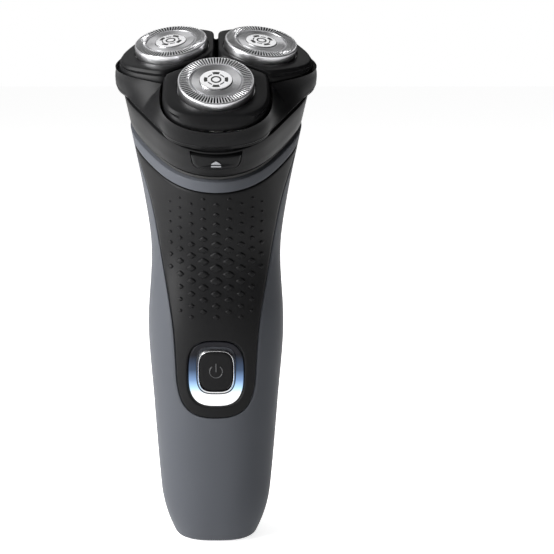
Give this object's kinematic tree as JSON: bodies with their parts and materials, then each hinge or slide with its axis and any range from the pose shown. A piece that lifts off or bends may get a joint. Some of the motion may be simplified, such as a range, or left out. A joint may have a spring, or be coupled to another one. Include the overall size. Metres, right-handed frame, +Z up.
{
  "type": "rotary electric shaver",
  "caption": "Handheld rotary electric shaver: waisted handle with grip panel and lit power button, forward-leaning flip-open head with floating round guards.",
  "frame": {"origin": "middle of the flat base that the handle stands on", "axes": "+Z up along the handle, front with the power button towards -Y, +X to the right seen from the front"},
  "size_m": [0.0596, 0.0563, 0.1599],
  "materials": {
    "grey_shell": "satin grey moulded plastic",
    "black_grip": "soft black rubberised panel with fine diamond bumps",
    "black_satin": "satin black plastic",
    "light_diffuser": "clear diffuser, lit white to pale blue",
    "silver_trim": "bright silver",
    "guard_steel": "finely turned and polished steel",
    "steel": "plain steel",
    "brass": "plain brass",
    "board_green": "green solder mask",
    "cell_wrap": "shrink wrap",
    "white_plastic": "white acetal",
    "chassis_plastic": "dark grey plastic",
    "black_rubber": "matt black rubber"
  },
  "bodies": {
    "handle": {"front_shell": "grey_shell", "rear_shell": "grey_shell", "grip_panel": "black_grip", "hair_chamber": "black_satin", "charging_socket": "black_satin", "tactile_switch": "black_satin", "light_ring": "light_diffuser", "motor_can": "steel", "hinge_pin": "steel", "release_spring": "steel", "plate_screw_left": "steel", "plate_screw_right": "steel", "gear_axle_front": "steel", "gear_axle_right": "steel", "gear_axle_left": "steel", "battery_tab_bottom": "brass", "battery_tab_top": "brass", "socket_pin_left": "brass", "socket_pin_right": "brass", "circuit_board": "board_green", "battery_cell": "cell_wrap", "gear_plate": "white_plastic", "status_led": "white_plastic", "inner_chassis": "chassis_plastic", "chamber_gasket": "black_rubber", "spindle_seal_front": "black_rubber", "spindle_seal_right": "black_rubber", "spindle_seal_left": "black_rubber"},
    "power_button": {"power_button": "black_satin", "button_bezel": "silver_trim"},
    "release_button": {"release_button": "black_satin"},
    "motor_rotor": {"motor_rotor": "steel", "pinion": "brass"},
    "shaving_head": {"head_frame": "black_satin", "cutter_holder": "white_plastic"},
    "drive_front": {"drive_gear_front": "white_plastic", "drive_spindle_front": "white_plastic", "spindle_spring_front": "steel"},
    "drive_right": {"drive_gear_right": "white_plastic", "drive_spindle_right": "white_plastic", "spindle_spring_right": "steel"},
    "drive_left": {"drive_gear_left": "white_plastic", "drive_spindle_left": "white_plastic", "spindle_spring_left": "steel"},
    "lobe_front": {"lobe_front": "black_satin"},
    "lobe_right": {"lobe_right": "black_satin"},
    "lobe_left": {"lobe_left": "black_satin"},
    "guard_front": {"guard_front": "guard_steel", "guard_disc_front": "silver_trim"},
    "guard_right": {"guard_right": "guard_steel", "guard_disc_right": "silver_trim"},
    "guard_left": {"guard_left": "guard_steel", "guard_disc_left": "silver_trim"},
    "cutter_front": {"cutter_front": "guard_steel"},
    "cutter_right": {"cutter_right": "guard_steel"},
    "cutter_left": {"cutter_left": "guard_steel"}
  },
  "joints": [
    {"name": "power_button_press", "type": "slide", "parent": "handle", "child": "power_button", "axis": [0, 1, 0], "range_m": [0, 0.0005], "stiffness_N_per_m": 600, "springref_m": -0.0005},
    {"name": "release_button_press", "type": "slide", "parent": "handle", "child": "release_button", "axis": [0, 0.8796, 0.4756], "range_m": [0, 0.0008], "stiffness_N_per_m": 600, "springref_m": -0.0005},
    {"name": "head_hinge", "type": "hinge", "parent": "handle", "child": "shaving_head", "pos_m": [0, 0.01556, 0.15251], "axis": [-1, 0, 0], "range_deg": [0, 100]},
    {"name": "motor_spin", "type": "hinge", "parent": "handle", "child": "motor_rotor", "pos_m": [0, 0.00077, 0.12541], "axis": [0, -0.4756, 0.8796], "continuous": true},
    {"name": "drive_front_spin", "type": "hinge", "parent": "handle", "child": "drive_front", "pos_m": [0, -0.01699, 0.12718], "axis": [0, -0.4756, 0.8796], "continuous": true},
    {"name": "drive_right_spin", "type": "hinge", "parent": "handle", "child": "drive_right", "pos_m": [0.0128, 0.00251, 0.13772], "axis": [0, -0.4756, 0.8796], "continuous": true},
    {"name": "drive_left_spin", "type": "hinge", "parent": "handle", "child": "drive_left", "pos_m": [-0.0128, 0.00251, 0.13772], "axis": [0, -0.4756, 0.8796], "continuous": true},
    {"name": "lobe_front_tilt", "type": "hinge", "parent": "shaving_head", "child": "lobe_front", "pos_m": [0, -0.02469, 0.14124], "axis": [-1, 0, 0], "range_deg": [-4, 4], "stiffness_Nm_per_rad": 0.08},
    {"name": "lobe_right_tilt", "type": "hinge", "parent": "shaving_head", "child": "lobe_right", "pos_m": [0.01287, -0.00508, 0.15185], "axis": [0.5, -0.7618, -0.4119], "range_deg": [-4, 4], "stiffness_Nm_per_rad": 0.08},
    {"name": "lobe_left_tilt", "type": "hinge", "parent": "shaving_head", "child": "lobe_left", "pos_m": [-0.01287, -0.00508, 0.15185], "axis": [0.5, 0.7618, 0.4119], "range_deg": [-4, 4], "stiffness_Nm_per_rad": 0.08},
    {"name": "guard_front_float", "type": "slide", "parent": "lobe_front", "child": "guard_front", "axis": [0, 0.5892, -0.808], "range_m": [0, 0.0008], "stiffness_N_per_m": 400, "springref_m": -0.0006},
    {"name": "guard_right_float", "type": "slide", "parent": "lobe_right", "child": "guard_right", "axis": [-0.116, 0.4124, -0.9036], "range_m": [0, 0.0008], "stiffness_N_per_m": 400, "springref_m": -0.0006},
    {"name": "guard_left_float", "type": "slide", "parent": "lobe_left", "child": "guard_left", "axis": [0.116, 0.4124, -0.9036], "range_m": [0, 0.0008], "stiffness_N_per_m": 400, "springref_m": -0.0006},
    {"name": "cutter_front_spin", "type": "hinge", "parent": "guard_front", "child": "cutter_front", "pos_m": [0, -0.02528, 0.14205], "axis": [0, -0.5892, 0.808], "continuous": true},
    {"name": "cutter_right_spin", "type": "hinge", "parent": "guard_right", "child": "cutter_right", "pos_m": [0.01299, -0.00549, 0.15275], "axis": [0.116, -0.4124, 0.9036], "continuous": true},
    {"name": "cutter_left_spin", "type": "hinge", "parent": "guard_left", "child": "cutter_left", "pos_m": [-0.01299, -0.00549, 0.15275], "axis": [-0.116, -0.4124, 0.9036], "continuous": true}
  ],
  "couplings": [
    {"joint": "drive_front_spin", "follows": "motor_spin", "ratio": -0.68421},
    {"joint": "drive_right_spin", "follows": "motor_spin", "ratio": -0.68421},
    {"joint": "drive_left_spin", "follows": "motor_spin", "ratio": -0.68421},
    {"joint": "cutter_front_spin", "follows": "motor_spin", "ratio": -0.68421},
    {"joint": "cutter_right_spin", "follows": "motor_spin", "ratio": -0.68421},
    {"joint": "cutter_left_spin", "follows": "motor_spin", "ratio": -0.68421}
  ]
}
